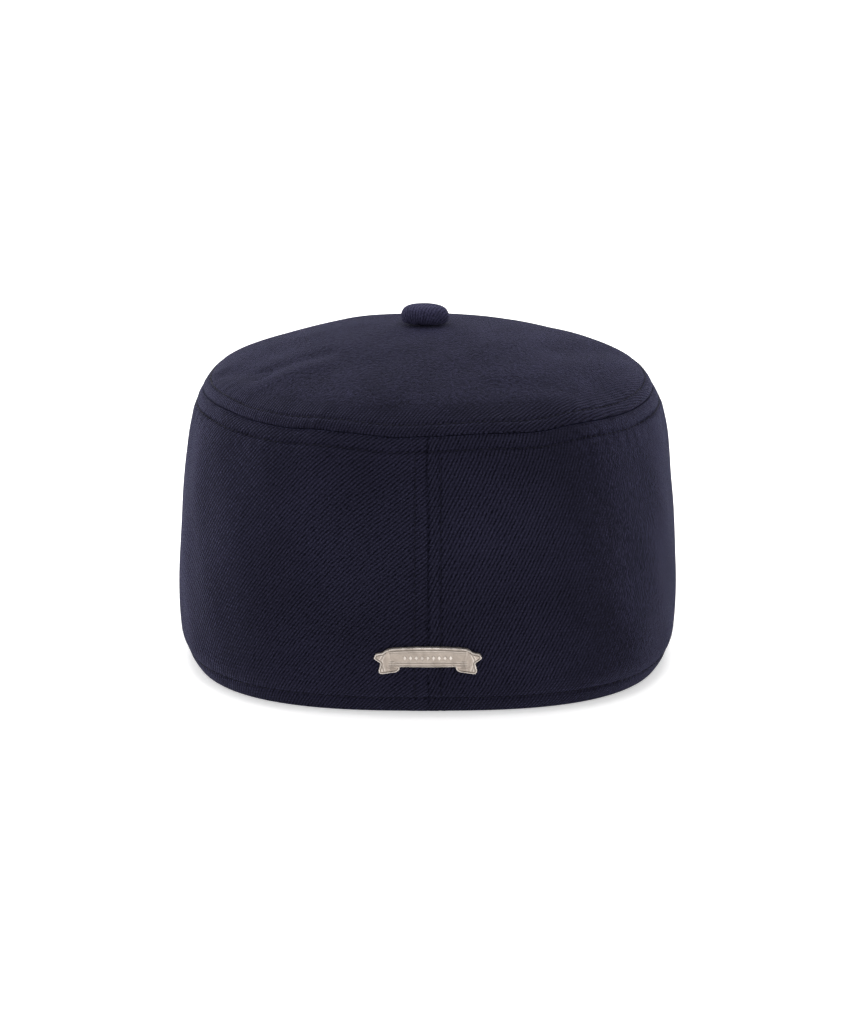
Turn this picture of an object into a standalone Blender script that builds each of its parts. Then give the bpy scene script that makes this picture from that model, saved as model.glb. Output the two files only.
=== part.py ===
"""Brimless pillbox cap in wool twill: a side band sewn from one strip, a domed crown top, a covered button
and a small metal ribbon badge over the seam at the back.

Metres, +Z up. The cap stands on its rim at Z = 0, the middle of the rim is at the origin, the back seam and
the badge face -Y, and +X is to the right of someone who looks at the back.
"""

import math

import bmesh
import bpy
import numpy as np

# Side band
HALF_WIDTH = 0.0900  # across the head, at the widest level
HALF_LENGTH = 0.1040  # brow to nape, at the widest level
BAND_HEIGHT = 0.0956  # rim to crown seam
WALL = 0.0015  # twill on its fused backing
HEM_DEPTH = 0.0110  # how far the hem is turned up inside
SEAM_ALLOWANCE = 0.0065  # cloth turned back beside every seam
EDGE_ROUND = 0.0008  # how softly a folded edge turns
GROOVE_DEPTH = 0.0005  # the back seam, pulled in by its thread
GROOVE_REACH = 0.0008  # from the middle of the back seam to the flat cloth

# Crown top
CROWN_RISE = 0.0223  # crown seam to apex

# Covered button
BUTTON_RADIUS = 0.0087
BUTTON_HEIGHT = 0.0066
BUTTON_SHIFT = -0.0010  # sewn on a little left of the middle
SHANK_RADIUS = 0.0014
WASHER_RADIUS = 0.0048  # closes the shank inside the crown
WASHER_THICKNESS = 0.0008

# Ribbon badge
BADGE_RISE = 0.0095  # from the turned-up hem to the middle of the badge
BODY_HALF_LENGTH = 0.0141
BODY_HEIGHT = 0.0072  # at the middle
BODY_ARCH = 0.0011  # how far its top edge falls from the middle to the ends
TAIL_REACH = 0.0187  # middle of the badge to the tip of a tail
TAIL_DROP = 0.0062  # middle of the badge to the foot of a tail
PLATE_THICKNESS = 0.0009
BODY_RELIEF = 0.0006  # the body stands this far above the tails
BORDER_WIDTH = 0.0008
FIELD_DEPTH = 0.0003  # the bare field lies this far below its border
FLANGE = 0.0004  # edge of the plate left low all round the body
CORNER_ROUND = 0.0008
PRONG_MARGIN = 0.0024  # from the doubled cloth beside the back seam to a prong
PRONG_WIDTH = 0.0030
PRONG_THICKNESS = 0.0006
PRONG_LENGTH = 0.0045  # folded along the inside of the band

CLEARANCE = 0.0003  # between pieces that touch on the real cap
FOLD_STEP = 0.0006  # slope down from doubled cloth to single
WELD = 0.000002  # corners of the badge nearer than this become one

# What follows from the sizes above
FOLD_WALL = 2 * WALL  # cloth doubled at the hem and beside the seams
SEAM_LEVEL = BAND_HEIGHT + CLEARANCE  # underside of the crown top
APEX = SEAM_LEVEL + CROWN_RISE
HOLE_RADIUS = SHANK_RADIUS + CLEARANCE
BADGE_LEVEL = HEM_DEPTH + FOLD_STEP + BADGE_RISE
PRONG_START = SEAM_ALLOWANCE + FOLD_STEP + PRONG_MARGIN  # from the back seam
BACK = -math.pi / 2  # direction of the back seam

STATIONS = 58  # sections round the cap, apart from those at the back seam
INNER_ROWS = 6  # sections of the single cloth, from the hem to the crown seam
TURNS = 36  # sections round the button
BEND_CUTS = 14  # lines on which the flat badge bends to the band
ARC_STEPS = 4  # round each corner of the badge
ARCH_POINTS = 9  # along its top edge

# From the rim up: height as a share of the band, spread as a share of the half sizes, and how square the oval is
BAND_SECTION = [
    dict(height=0.00, spread=0.940, square=2.71),
    dict(height=0.05, spread=0.970, square=2.70),
    dict(height=0.12, spread=0.996, square=2.69),
    dict(height=0.30, spread=1.000, square=2.60),
    dict(height=0.55, spread=0.991, square=2.45),
    dict(height=0.80, spread=0.970, square=2.26),
    dict(height=0.92, spread=0.947, square=2.15),
    dict(height=1.00, spread=0.907, square=2.08),
]
# From the apex out: reach as a share of the way to the seam, fall as a share of the crown's rise
CROWN_SECTION = [
    dict(reach=0.00, fall=0.000),
    dict(reach=0.35, fall=0.106),
    dict(reach=0.60, fall=0.311),
    dict(reach=0.78, fall=0.498),
    dict(reach=0.90, fall=0.683),
    dict(reach=0.97, fall=0.863),
    dict(reach=1.00, fall=1.000),
]
# Soft hollows of the crown, or swells where the depth is below 0: place and reach as shares of the crown seam's
# half sizes, depth as a share of the crown's rise
CROWN_DENTS = [
    dict(across=-0.74, along=-0.12, reach=0.25, depth=0.050),
    dict(across=-0.59, along=-0.38, reach=0.25, depth=-0.022),
    dict(across=-0.61, along=0.38, reach=0.44, depth=0.031),
    dict(across=0.78, along=0.21, reach=0.37, depth=-0.031),
    dict(across=-0.74, along=-0.55, reach=0.22, depth=0.045),
    dict(across=0.78, along=-0.55, reach=0.22, depth=0.054),
]
# The button from the top down, as shares of its radius and its height
BUTTON_SECTION = [
    dict(radius=0.22, height=0.985),
    dict(radius=0.45, height=0.940),
    dict(radius=0.66, height=0.860),
    dict(radius=0.83, height=0.740),
    dict(radius=0.94, height=0.580),
    dict(radius=1.00, height=0.380),
    dict(radius=0.97, height=0.190),
    dict(radius=0.88, height=0.060),
    dict(radius=0.72, height=0.000),
]
# Right tail of the ribbon, anticlockwise from the body's foot: across as a share of the tails' reach, up as a
# share of their drop, and the corner's radius as a share of CORNER_ROUND
TAIL_CORNERS = [
    dict(across=0.508, up=-0.580, radius=0.6),
    dict(across=0.600, up=-0.870, radius=1.0),
    dict(across=0.885, up=-1.000, radius=0.9),
    dict(across=0.950, up=-0.740, radius=1.0),
    dict(across=0.888, up=-0.365, radius=0.3),
    dict(across=1.000, up=-0.100, radius=0.8),
    dict(across=0.962, up=0.170, radius=1.0),
    dict(across=0.800, up=0.262, radius=0.6),
]
BAND_LEVELS = [0.05, 0.085, 0.13, 0.20, 0.30, 0.43, 0.56, 0.69, 0.80, 0.88, 0.94]
CROWN_RINGS = [0.05, 0.12, 0.20, 0.30, 0.40, 0.50, 0.60, 0.69, 0.77, 0.84, 0.90, 0.945, 0.975, 0.99]


def smooth(rows, key, value, at):
    """A curve through two columns of a table, with no overshoot: cubic pieces whose slope at each row is the
    harmonic mean of the slopes beside it."""
    x = np.array([row[key] for row in rows])
    y = np.array([row[value] for row in rows])
    step = np.diff(x)
    slope = np.diff(y) / step
    product = slope[:-1] * slope[1:]
    total = slope[:-1] + slope[1:]
    middle = np.where(product > 0, 2 * product / np.where(total == 0, 1, total), 0)
    tangent = np.concatenate([slope[:1], middle, slope[-1:]])
    at = np.clip(np.asarray(at, float), x[0], x[-1])
    i = np.clip(np.searchsorted(x, at, side="right") - 1, 0, len(step) - 1)
    t = (at - x[i]) / step[i]
    return (
        y[i] * (1 + 2 * t) * (1 - t) ** 2
        + y[i + 1] * t * t * (3 - 2 * t)
        + step[i] * t * (1 - t) * (tangent[i] * (1 - t) - tangent[i + 1] * t)
    )


def oval(direction, half_x, half_y, square):
    """Points of a rounded oval in the given directions from its middle."""
    across = np.abs(np.cos(direction)) / half_x
    along = np.abs(np.sin(direction)) / half_y
    radius = (across**square + along**square) ** (-1 / square)
    return np.cos(direction) * radius, np.sin(direction) * radius


def band_sizes(height):
    """Half width, half length and squareness of the band's outer face at a height."""
    share = height / BAND_HEIGHT
    spread = smooth(BAND_SECTION, "height", "spread", share)
    square = smooth(BAND_SECTION, "height", "square", share)
    return HALF_WIDTH * spread, HALF_LENGTH * spread, square


SEAM_HALF_WIDTH, SEAM_HALF_LENGTH, SEAM_SQUARE = (float(size) for size in band_sizes(BAND_HEIGHT))


def station_directions():
    """Directions of the sections: close together over the back seam, even round the rest."""
    beside_seam = [GROOVE_REACH, SEAM_ALLOWANCE, SEAM_ALLOWANCE + FOLD_STEP]
    turns = np.array([0] + beside_seam) / HALF_LENGTH
    close = np.concatenate([BACK - turns[:0:-1], BACK + turns])
    even = np.linspace(close[-1], close[0] + 2 * math.pi, STATIONS + 2)[1:-1]
    return np.concatenate([close, even])


def from_back_seam(direction):
    """Distance round the cap from the back seam."""
    turn = (direction - BACK + math.pi) % (2 * math.pi) - math.pi
    return np.abs(turn) * HALF_LENGTH


def add_object(name, vertices, faces, material, smooth_angle=40):
    """One named object whose faces point out, shaded smooth up to an angle."""
    mesh = bpy.data.meshes.new(name)
    mesh.from_pydata([tuple(map(float, v)) for v in vertices], [], faces)
    mesh.validate()
    mesh.shade_smooth()
    mesh.set_sharp_from_angle(angle=math.radians(smooth_angle))
    mesh.materials.append(material)
    thing = bpy.data.objects.new(name, mesh)
    bpy.context.scene.collection.objects.link(thing)
    return thing


def ring_of_sections(sections):
    """Vertices and quads of a closed ring; sections is an array of stations by section points."""
    count, points = sections.shape[:2]
    faces = []
    for i in range(count):
        j = (i + 1) % count
        for k in range(points):
            m = (k + 1) % points
            faces.append((i * points + k, j * points + k, j * points + m, i * points + m))
    return sections.reshape(-1, 3), faces


def band_point(direction, height, inset):
    """A point of the band, level with height and inset from its outer face."""
    half_x, half_y, square = band_sizes(height)
    x, y = oval(direction, half_x - inset, half_y - inset, square)
    return np.stack([x, y, np.full_like(x, height)], axis=-1)


def side_band(material):
    """The side band: one strip with its hem turned up, its top edge turned in and its ends sewn at the back."""
    direction = station_directions()
    distance = from_back_seam(direction)
    groove = np.where(distance < GROOVE_REACH / 2, GROOVE_DEPTH, 0)
    doubled = distance < SEAM_ALLOWANCE + FOLD_STEP / 2
    single_wall = np.where(doubled, FOLD_WALL, WALL)
    fold_wall = np.full_like(direction, FOLD_WALL)

    soft = EDGE_ROUND * (1 - math.sqrt(0.5))
    outer = [(0, EDGE_ROUND), (soft, soft), (EDGE_ROUND, 0)]
    outer += [(share * BAND_HEIGHT, 0) for share in BAND_LEVELS]
    outer += [(BAND_HEIGHT - EDGE_ROUND, 0), (BAND_HEIGHT - soft, soft), (BAND_HEIGHT, EDGE_ROUND)]
    turned_in = BAND_HEIGHT - SEAM_ALLOWANCE
    inner = [(BAND_HEIGHT, fold_wall), (turned_in, fold_wall)]
    single = np.linspace(turned_in - FOLD_STEP, HEM_DEPTH + FOLD_STEP, INNER_ROWS + 2)
    inner += [(height, single_wall) for height in single]
    inner += [(HEM_DEPTH, fold_wall), (HEM_DEPTH / 2, fold_wall), (0, fold_wall)]
    rows = [band_point(direction, height, inset + groove) for height, inset in outer]
    rows += [band_point(direction, height, inset) for height, inset in inner]
    return add_object("side_band", *ring_of_sections(np.stack(rows, axis=1)), material)


def crown_dent(x, y, share):
    """How far the crown lies below its smooth dome; each hollow fades out at its reach and at the seam."""
    depth = 0
    for dent in CROWN_DENTS:
        across = x / SEAM_HALF_WIDTH - dent["across"]
        along = y / SEAM_HALF_LENGTH - dent["along"]
        depth = depth + dent["depth"] * np.exp(-3 * (across**2 + along**2) / dent["reach"] ** 2)
    return CROWN_RISE * depth * (1 - share**12)


def crown_point(direction, share):
    """A point of the crown top's outer face; share runs from 0 at the hole to 1 at the seam."""
    half_x = HOLE_RADIUS + (SEAM_HALF_WIDTH - HOLE_RADIUS) * share
    half_y = HOLE_RADIUS + (SEAM_HALF_LENGTH - HOLE_RADIUS) * share
    x, y = oval(direction, half_x, half_y, 2 + (SEAM_SQUARE - 2) * share**2)
    fall = CROWN_RISE * smooth(CROWN_SECTION, "reach", "fall", share) + crown_dent(x, y, share)
    return np.stack([x + BUTTON_SHIFT * (1 - share) ** 2, y, APEX - fall], axis=-1)


def crown_inside(direction, share, depth):
    """The point of the crown's inner face under crown_point, depth below it along the normal."""
    step = 1e-3
    along = crown_point(direction, share + step) - crown_point(direction, share - step)
    round_cap = crown_point(direction + step, share) - crown_point(direction - step, share)
    normal = np.cross(along, round_cap)
    normal /= np.linalg.norm(normal, axis=-1, keepdims=True)
    return crown_point(direction, share) - normal * depth


def seam_ledge(direction, inset):
    """A point of the crown's flat underside, where it meets the band."""
    x, y = oval(direction, SEAM_HALF_WIDTH - inset, SEAM_HALF_LENGTH - inset, SEAM_SQUARE)
    return np.stack([x, y, np.full_like(x, SEAM_LEVEL)], axis=-1)


def crown_top(material):
    """The crown top: one domed oval of cloth, doubled along the seam and punched at the apex."""
    direction = station_directions()
    turned_in = 1 - SEAM_ALLOWANCE / SEAM_HALF_LENGTH
    step = FOLD_STEP / SEAM_HALF_LENGTH
    hole = crown_point(direction, 0.0)
    rows = [seam_ledge(direction, EDGE_ROUND)]
    rows += [crown_point(direction, share) for share in reversed(CROWN_RINGS)]
    rows += [hole, hole - [0, 0, WALL]]
    rows += [crown_inside(direction, share, WALL) for share in CROWN_RINGS if share < turned_in - 2 * step]
    rows += [crown_inside(direction, turned_in - step, WALL)]
    rows += [crown_inside(direction, turned_in, FOLD_WALL)]
    rows += [seam_ledge(direction, EDGE_ROUND + FOLD_WALL)]
    return add_object("crown_top", *ring_of_sections(np.stack(rows, axis=1)), material)


def turned(name, profile, material):
    """A solid turned about the button's axis; profile holds radius and height from the top to the foot."""
    angles = np.linspace(0, 2 * math.pi, TURNS, endpoint=False)
    vertices = [(BUTTON_SHIFT, 0, profile[0][1])]
    for radius, height in profile[1:-1]:
        vertices += [(BUTTON_SHIFT + radius * math.cos(a), radius * math.sin(a), height) for a in angles]
    vertices.append((BUTTON_SHIFT, 0, profile[-1][1]))
    last = len(vertices) - 1
    faces = []
    for i in range(TURNS):
        j = (i + 1) % TURNS
        faces.append((0, 1 + i, 1 + j))
        for k in range(len(profile) - 3):
            upper = 1 + k * TURNS
            lower = upper + TURNS
            faces.append((upper + i, lower + i, lower + j, upper + j))
        foot = last - TURNS
        faces.append((foot + i, last, foot + j))
    return add_object(name, vertices, faces, material)


def top_button(material):
    """The covered button: a flat bun on a shank that a washer closes inside the crown."""
    seat = APEX + CLEARANCE
    washer_top = APEX - WALL - CLEARANCE
    washer_foot = washer_top - WASHER_THICKNESS
    profile = [(0, seat + BUTTON_HEIGHT)]
    profile += [(row["radius"] * BUTTON_RADIUS, seat + row["height"] * BUTTON_HEIGHT) for row in BUTTON_SECTION]
    profile += [(SHANK_RADIUS, seat), (SHANK_RADIUS, washer_top), (WASHER_RADIUS, washer_top)]
    profile += [(WASHER_RADIUS, washer_foot), (0, washer_foot)]
    return turned("top_button", profile, material)


def rounded_outline(corners):
    """An outline through corners given as across, up and radius, with an arc at each that has a radius."""
    outline = []
    count = len(corners)
    for i, corner in enumerate(corners):
        here = np.array(corner[:2])
        if not corner[2]:
            outline.append(here)
            continue
        before = np.array(corners[i - 1][:2]) - here
        after = np.array(corners[(i + 1) % count][:2]) - here
        reach_before, reach_after = np.linalg.norm(before), np.linalg.norm(after)
        before, after = before / reach_before, after / reach_after
        half = math.acos(float(before @ after)) / 2
        cut = min(corner[2] / math.tan(half), 0.45 * reach_before, 0.45 * reach_after)
        bisector = (before + after) / np.linalg.norm(before + after)
        centre = here + bisector * cut / math.cos(half)
        start, end = here + before * cut - centre, here + after * cut - centre
        turn = math.atan2(start[0] * end[1] - start[1] * end[0], float(start @ end))
        for angle in np.linspace(0, turn, ARC_STEPS + 1):
            spin = np.array([[math.cos(angle), -math.sin(angle)], [math.sin(angle), math.cos(angle)]])
            outline.append(centre + spin @ start)
    return outline


def arch(margin, reach):
    """The body's top edge from right to left, in by a margin, over a share of its half length."""
    half = BODY_HALF_LENGTH - margin
    top = BODY_HEIGHT / 2 - margin
    return [(share * half, top - BODY_ARCH * share**2, 0) for share in np.linspace(reach, -reach, ARCH_POINTS)]


def body_outline(margin):
    """The badge's arched body, anticlockwise from its lower left corner, in by a margin."""
    half = BODY_HALF_LENGTH - margin
    foot = -BODY_HEIGHT / 2 + margin
    shoulder = BODY_HEIGHT / 2 - margin - BODY_ARCH
    lower = [(-half, foot, CORNER_ROUND / 2), (half, foot, CORNER_ROUND / 2)]
    return lower + [(half, shoulder, CORNER_ROUND)] + arch(margin, 0.9) + [(-half, shoulder, CORNER_ROUND)]


def plate_outline():
    """The whole badge's outline: the body's arch above, a swallow tail at each end."""
    right = []
    for row in TAIL_CORNERS:
        right.append((row["across"] * TAIL_REACH, row["up"] * TAIL_DROP, row["radius"] * CORNER_ROUND))
    left = [(-across, up, radius) for across, up, radius in reversed(right)]
    return right + arch(0, 0.92) + left


def prism(name, outline, low, high):
    """A flat slab of an outline, from low to high."""
    count = len(outline)
    vertices = [(x, y, low) for x, y in outline] + [(x, y, high) for x, y in outline]
    faces = [tuple(reversed(range(count))), tuple(range(count, 2 * count))]
    faces += [(i, (i + 1) % count, count + (i + 1) % count, count + i) for i in range(count)]
    mesh = bpy.data.meshes.new(name)
    mesh.from_pydata([tuple(map(float, v)) for v in vertices], [], faces)
    thing = bpy.data.objects.new(name, mesh)
    bpy.context.scene.collection.objects.link(thing)
    return thing


def box_outline(left, right, low, high):
    return [(left, low), (right, low), (right, high), (left, high)]


def combine(thing, other, operation):
    """Adds a Boolean to thing, with other kept only as its guide."""
    modifier = thing.modifiers.new(operation.lower(), "BOOLEAN")
    modifier.operation = operation
    modifier.solver = "EXACT"
    modifier.object = other
    other.hide_render = True
    other.display_type = "WIRE"


def bent_to_band(thing, cuts):
    """The evaluated flat shape, cut across on even lines and bent to the band's outer face at the back."""
    shape = bmesh.new()
    shape.from_object(thing, bpy.context.evaluated_depsgraph_get())
    reach = max(abs(v.co.x) for v in shape.verts)
    for x in np.linspace(-reach, reach, cuts + 2)[1:-1]:
        everything = shape.verts[:] + shape.edges[:] + shape.faces[:]
        bmesh.ops.bisect_plane(shape, geom=everything, dist=WELD, plane_co=(x, 0, 0), plane_no=(1, 0, 0))
    bmesh.ops.remove_doubles(shape, verts=shape.verts[:], dist=WELD)
    bmesh.ops.triangulate(shape, faces=shape.faces[:])
    flat = np.array([v.co for v in shape.verts])
    faces = [tuple(v.index for v in face.verts) for face in shape.faces]
    shape.free()

    def wall(x, height):
        half_x, half_y, square = band_sizes(height)
        y = -half_y * (1 - np.abs(x / half_x) ** square) ** (1 / square)
        return np.stack([x, y, height], axis=-1)

    step = 1e-4
    x, height = flat[:, 0], BADGE_LEVEL + flat[:, 1]
    across = wall(x + step, height) - wall(x - step, height)
    upward = wall(x, height + step) - wall(x, height - step)
    normal = np.cross(across, upward)
    normal /= np.linalg.norm(normal, axis=-1, keepdims=True)
    return wall(x, height) + normal * (CLEARANCE + flat[:, 2:3]), faces


def prong_leg(side, spare):
    """Outline and foot level of one prong's leg, with spare room all round."""
    left, right = sorted((side * PRONG_START, side * (PRONG_START + PRONG_THICKNESS)))
    half = PRONG_WIDTH / 2 + spare
    return box_outline(left - spare, right + spare, -half, half), -(2 * CLEARANCE + WALL + PRONG_THICKNESS)


def prong_foot(side):
    """Outline, underside and top of one prong's foot, folded away from the back seam."""
    left, right = sorted((side * PRONG_START, side * (PRONG_START + PRONG_LENGTH)))
    top = -(2 * CLEARANCE + WALL)
    return box_outline(left, right, -PRONG_WIDTH / 2, PRONG_WIDTH / 2), top - PRONG_THICKNESS, top


def ribbon_badge(material):
    """The badge: a swallow-tailed plate, a raised body with a bare field, and two prongs folded inside."""
    flat = prism("badge_plate", rounded_outline(plate_outline()), 0, PLATE_THICKNESS)
    face = PLATE_THICKNESS + BODY_RELIEF
    body = prism("badge_body", rounded_outline(body_outline(FLANGE)), PLATE_THICKNESS / 2, face)
    combine(flat, body, "UNION")
    edge = FLANGE + BORDER_WIDTH
    field = prism("badge_field", rounded_outline(body_outline(edge)), face - FIELD_DEPTH, face + FIELD_DEPTH)
    combine(flat, field, "DIFFERENCE")
    for side, word in ((-1, "left"), (1, "right")):
        combine(flat, prism(f"prong_leg_{word}", *prong_leg(side, 0), PLATE_THICKNESS / 2), "UNION")
        combine(flat, prism(f"prong_foot_{word}", *prong_foot(side)), "UNION")
    flat.hide_render = True
    flat.display_type = "WIRE"
    return add_object("ribbon_badge", *bent_to_band(flat, BEND_CUTS), material, smooth_angle=25)


def cut_prong_slots(band):
    """Two slots through the band at the back, a clearance wider than the prongs."""
    for side, word in ((-1, "left"), (1, "right")):
        outline, foot = prong_leg(side, CLEARANCE)
        flat = prism(f"slot_{word}", outline, foot - WALL, WALL)
        flat.hide_render = True
        flat.display_type = "WIRE"
        cutter = add_object(f"slot_cutter_{word}", *bent_to_band(flat, 0), None)
        combine(band, cutter, "DIFFERENCE")


def finish(name, colour, roughness, metallic=0.0, sheen=0.0):
    """A Principled material."""
    material = bpy.data.materials.new(name)
    material.use_nodes = True
    shader = material.node_tree.nodes["Principled BSDF"]
    shader.inputs["Base Color"].default_value = (*colour, 1)
    shader.inputs["Roughness"].default_value = roughness
    shader.inputs["Metallic"].default_value = metallic
    shader.inputs["Sheen Weight"].default_value = sheen
    return material


def main():
    for thing in list(bpy.data.objects):
        bpy.data.objects.remove(thing)
    band = side_band(finish("band_twill", (0.014, 0.013, 0.030), 0.85, sheen=0.4))
    cut_prong_slots(band)
    crown_top(finish("crown_twill", (0.016, 0.015, 0.032), 0.85, sheen=0.4))
    top_button(finish("button_twill", (0.013, 0.012, 0.026), 0.85, sheen=0.3))
    ribbon_badge(finish("badge_metal", (0.60, 0.53, 0.46), 0.32, metallic=1.0))


main()
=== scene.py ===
import math

import bpy
import numpy as np
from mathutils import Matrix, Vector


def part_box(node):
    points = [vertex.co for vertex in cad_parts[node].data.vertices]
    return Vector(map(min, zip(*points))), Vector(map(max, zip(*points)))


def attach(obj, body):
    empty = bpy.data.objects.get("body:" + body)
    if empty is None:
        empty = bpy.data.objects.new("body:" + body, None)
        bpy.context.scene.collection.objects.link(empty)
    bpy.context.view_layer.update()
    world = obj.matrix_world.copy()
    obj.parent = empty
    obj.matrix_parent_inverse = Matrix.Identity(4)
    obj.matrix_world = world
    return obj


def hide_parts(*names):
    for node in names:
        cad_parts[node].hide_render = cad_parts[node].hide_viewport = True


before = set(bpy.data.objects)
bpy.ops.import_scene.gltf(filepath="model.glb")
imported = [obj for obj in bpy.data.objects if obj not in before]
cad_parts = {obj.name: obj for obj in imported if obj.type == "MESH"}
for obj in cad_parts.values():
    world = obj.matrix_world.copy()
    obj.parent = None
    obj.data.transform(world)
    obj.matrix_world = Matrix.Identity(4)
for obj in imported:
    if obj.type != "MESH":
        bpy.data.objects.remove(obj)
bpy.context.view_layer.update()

print("frame loaded")


# a table whose rows carry the named values
def tableOf(names, rows):
    return [dict(zip(names.split(), row)) for row in rows]


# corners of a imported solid's box
def nodeBox(node):
    low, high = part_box(node)
    return np.array(low), np.array(high)


bandLow, bandHigh = nodeBox("side_band")
crownLow, crownHigh = nodeBox("crown_top")
buttonLow, buttonHigh = nodeBox("top_button")

cap = dict(
    halfWidth=(bandHigh[0] - bandLow[0]) / 2,
    halfLength=(bandHigh[1] - bandLow[1]) / 2,
    bandHeight=bandHigh[2],
    seamLevel=crownLow[2],  # where the crown's folded edge lies on the band
    apex=crownHigh[2],
    wall=0.0015,  # one layer of backed twill
    fold=0.0030,  # two layers, at the hem and the seams
    allowance=0.0065,  # cloth turned back beside a seam
    hemDepth=0.0110,
)
cap["rise"] = cap["apex"] - cap["seamLevel"]

# from the rim up: height as a share of the band, spread as a share of the half sizes, squareness of the oval
bandSection = tableOf("height spread square", [
    (0.00, 0.940, 2.71),
    (0.05, 0.970, 2.70),
    (0.12, 0.996, 2.69),
    (0.30, 1.000, 2.60),
    (0.55, 0.991, 2.45),
    (0.80, 0.970, 2.26),
    (0.92, 0.947, 2.15),
    (1.00, 0.907, 2.08),
])
# from the apex out: reach as a share of the way to the seam, fall as a share of the rise
crownSection = tableOf("reach fall", [
    (0.00, 0.000),
    (0.35, 0.106),
    (0.60, 0.311),
    (0.78, 0.498),
    (0.90, 0.683),
    (0.97, 0.863),
    (1.00, 1.000),
])
# soft hollows of the crown, swells where the depth is below 0: shares of the seam's half sizes and of the rise
crownDents = tableOf("across along reach depth", [
    (-0.74, -0.12, 0.25, 0.050),
    (-0.59, -0.38, 0.25, -0.022),
    (-0.61, 0.38, 0.44, 0.031),
    (0.78, 0.21, 0.37, -0.031),
    (-0.74, -0.55, 0.22, 0.045),
    (0.78, -0.55, 0.22, 0.054),
])


# a smooth curve through two columns of a table: cubic pieces, slopes are harmonic means, so it never overshoots
def smoothTable(rows, key, value, at):
    x = np.array([row[key] for row in rows], float)
    y = np.array([row[value] for row in rows], float)
    step = np.diff(x)
    slope = np.diff(y) / step
    product = slope[:-1] * slope[1:]
    total = slope[:-1] + slope[1:]
    middle = np.where(product > 0, 2 * product / np.where(total == 0, 1, total), 0)
    tangent = np.concatenate([slope[:1], middle, slope[-1:]])
    at = np.clip(np.asarray(at, float), x[0], x[-1])
    i = np.clip(np.searchsorted(x, at, side="right") - 1, 0, len(step) - 1)
    t = (at - x[i]) / step[i]
    return (
        y[i] * (1 + 2 * t) * (1 - t) ** 2
        + y[i + 1] * t * t * (3 - 2 * t)
        + step[i] * t * (1 - t) * (tangent[i] * (1 - t) - tangent[i + 1] * t)
    )


# shortest distance from every point to a broken line: from each of its parts in turn, with round ends
def distanceTo(points, line):
    best = np.inf
    for start, step in zip(line, np.diff(line, axis=0)):
        if step @ step < 1e-14:
            continue
        t = np.clip((points - start) @ step / (step @ step), 0, 1)
        best = np.minimum(best, np.linalg.norm(points - start - t[..., None] * step, axis=-1))
    return best


# 0 below low, 1 above high, and a smooth S between
def ease(value, low, high):
    t = np.clip((value - low) / (high - low), 0, 1)
    return t * t * (3 - 2 * t)


# a bell of height 1 round a centre
def bell(value, centre, width):
    return np.exp(-(((value - centre) / width) ** 2))


# a half wave of height 1 between two values and 0 outside
def hump(value, low, high):
    t = np.clip((value - low) / (high - low), 0, 1)
    return np.sin(np.pi * t)


# points of a rounded oval: |x/halfX|^square + |y/halfY|^square = 1, in the given directions from its middle
def oval(direction, halfX, halfY, square):
    across = np.abs(np.cos(direction)) / halfX
    along = np.abs(np.sin(direction)) / halfY
    radius = (across**square + along**square) ** (-1 / square)
    return np.cos(direction) * radius, np.sin(direction) * radius


# the sum of a few sines over two lengths, for soft irregular waves
def waves(rows, a, b):
    total = 0
    for row in rows:
        total = total + row["lift"] * np.sin(2 * np.pi * (a / row["longA"] + b / row["longB"]) + row["phase"])
    return total


# a sine whose spacing drifts: sine of value over length, its phase moved by bend times a slower sine
def drifting(value, length, bend, slow):
    return np.sin(value / length + bend * np.sin(value / slow))


# vectors divided by their own lengths
def unit(vectors):
    return vectors / np.linalg.norm(vectors, axis=-1, keepdims=True)


# steps added up one after the other, from 0
def running(steps):
    return np.concatenate([[0], np.cumsum(steps)])


# even steps from each stop to the next, so many numbers a run with both its ends
def runs(stops, counts):
    parts = [np.linspace(low, high, count)[:-1] for low, high, count in zip(stops, stops[1:], counts)]
    return np.concatenate(parts + [stops[-1:]])


# unit normals of surface(a, b), by small steps along a and b
def normalsOf(surface, a, b, stepA, stepB):
    alongA = surface(a + stepA, b) - surface(a - stepA, b)
    alongB = surface(a, b + stepB) - surface(a, b - stepB)
    return unit(np.cross(alongA, alongB))


# faces of a grid, and the same faces on an unjoined copy with one more row and column, for its cloth map
def gridFaces(rows, columns, closeRows, closeColumns):
    r = np.arange(rows if closeRows else rows - 1)
    c = np.arange(columns if closeColumns else columns - 1)
    i, j = np.meshgrid(r, c, indexing="ij")
    iNext, jNext = (i + 1) % rows, (j + 1) % columns
    faces = np.stack([i * columns + j, iNext * columns + j, iNext * columns + jNext, i * columns + jNext], -1)
    wide = columns + 1
    openFaces = np.stack([i * wide + j, (i + 1) * wide + j, (i + 1) * wide + j + 1, i * wide + j + 1], -1)
    return faces.reshape(-1, 4), openFaces.reshape(-1, 4)


# an object in the scene that holds the data
def addObject(name, data):
    made = bpy.data.objects.new(name, data)
    bpy.context.scene.collection.objects.link(made)
    return made


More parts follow.
